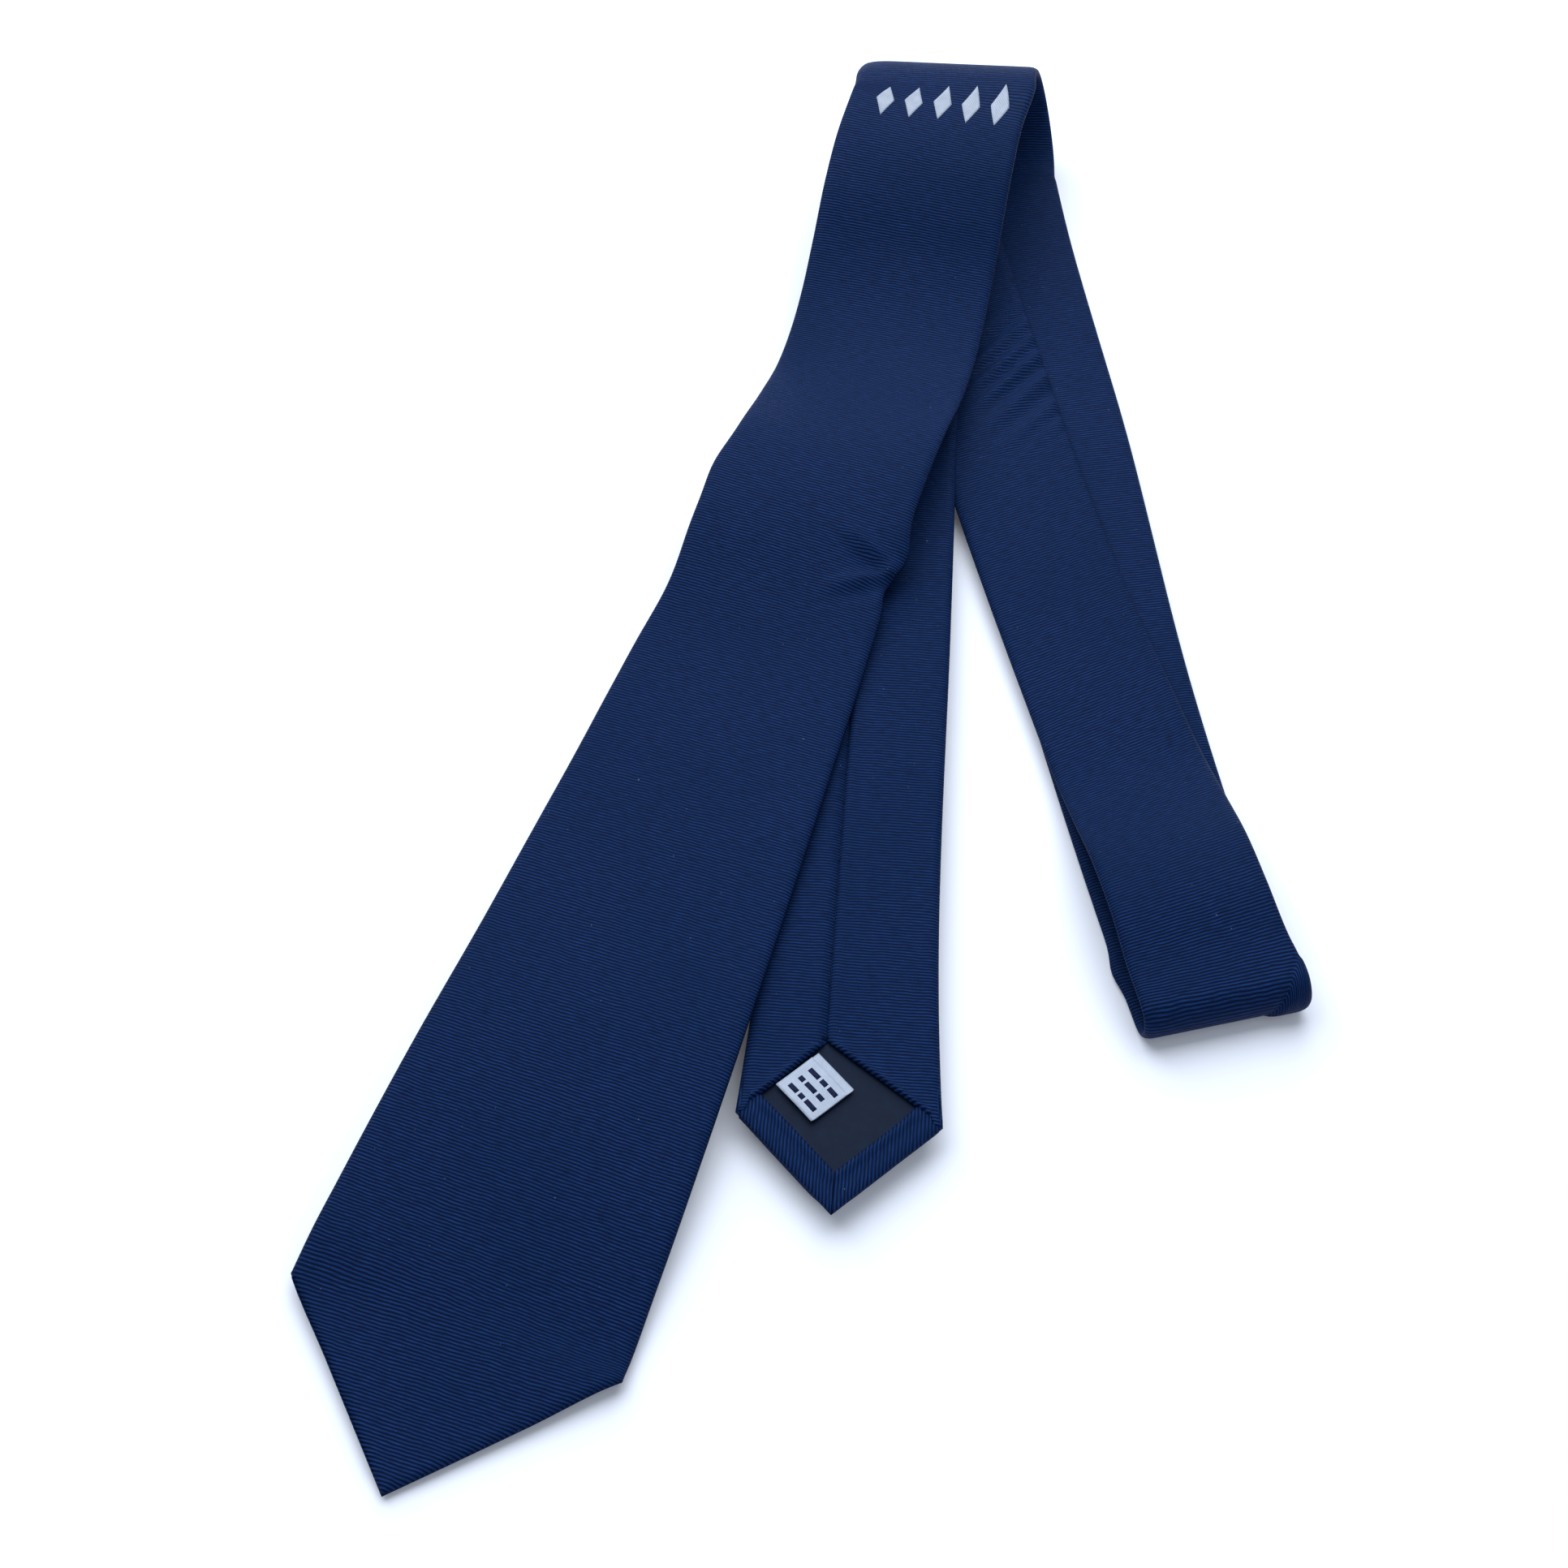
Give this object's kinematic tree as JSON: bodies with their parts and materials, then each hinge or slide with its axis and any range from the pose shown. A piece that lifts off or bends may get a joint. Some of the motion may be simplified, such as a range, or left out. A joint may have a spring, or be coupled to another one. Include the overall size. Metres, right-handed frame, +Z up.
{
  "type": "necktie",
  "caption": "Pressed silk necktie folded in four, wide blade on top, narrow blade's open back beside it, with folds, padding, lining and label as separate pieces.",
  "frame": {"origin": "on the table, under the middle of the neck run's flat underside", "axes": "+X to the right of the folded tie seen with the wide blade's tip nearest, +Y from the wide blade's tip to the top fold, +Z up from the table"},
  "size_m": [0.2387, 0.4434, 0.0351],
  "materials": {
    "silk": "ribbed silk, soft sheen",
    "interlining": "brushed wool",
    "tipping": "black satin lining",
    "thread": "sewing thread",
    "label": "white satin ribbon",
    "print": "matt white print"
  },
  "bodies": {
    "neck_run": {"neck_run_shell": "silk", "neck_run_interlining": "interlining", "neck_run_slip_stitch": "thread", "top_fold_shell": "silk", "top_fold_interlining": "interlining", "neck_fold_shell": "silk", "neck_fold_interlining": "interlining"},
    "wide_blade": {"wide_blade_shell": "silk", "wide_blade_interlining": "interlining", "wide_blade_tipping": "tipping", "wide_blade_slip_stitch": "thread", "wide_bar_tack": "thread", "keeper_loop": "silk", "keeper_loop_stitches": "thread", "printed_motif": "print"},
    "inner_run": {"inner_run_shell": "silk", "inner_run_interlining": "interlining", "inner_run_slip_stitch": "thread", "inner_fold_shell": "silk", "inner_fold_interlining": "interlining"},
    "narrow_blade": {"narrow_blade_shell": "silk", "narrow_blade_interlining": "interlining", "narrow_blade_tipping": "tipping", "narrow_blade_slip_stitch": "thread", "narrow_bar_tack": "thread", "care_label_stitches": "thread"},
    "care_label": {"care_label": "label"}
  },
  "joints": [
    {"name": "top_fold", "type": "hinge", "parent": "neck_run", "child": "wide_blade", "pos_m": [-0.02567, 0.16016, 0.0175], "axis": [-0.9976, 0.0698, 0], "range_deg": [0, 184], "deforming": ["top_fold_shell", "top_fold_interlining"]},
    {"name": "neck_fold_swing", "type": "hinge", "parent": "neck_run", "child": "inner_run", "pos_m": [0.0254, -0.1585, 0.0063], "axis": [0, 0, -1], "range_deg": [0, 5], "deforming": ["neck_fold_shell", "neck_fold_interlining"]},
    {"name": "inner_fold_swing", "type": "hinge", "parent": "inner_run", "child": "narrow_blade", "pos_m": [-0.04, 0.144, 0.0055], "axis": [0, 0, 1], "range_deg": [0, 5], "deforming": ["inner_fold_shell", "inner_fold_interlining"]},
    {"name": "label_flip", "type": "hinge", "parent": "narrow_blade", "child": "care_label", "pos_m": [-0.0772, -0.18, 0.00762], "axis": [-0.766, -0.6428, 0], "range_deg": [0, 90]}
  ]
}
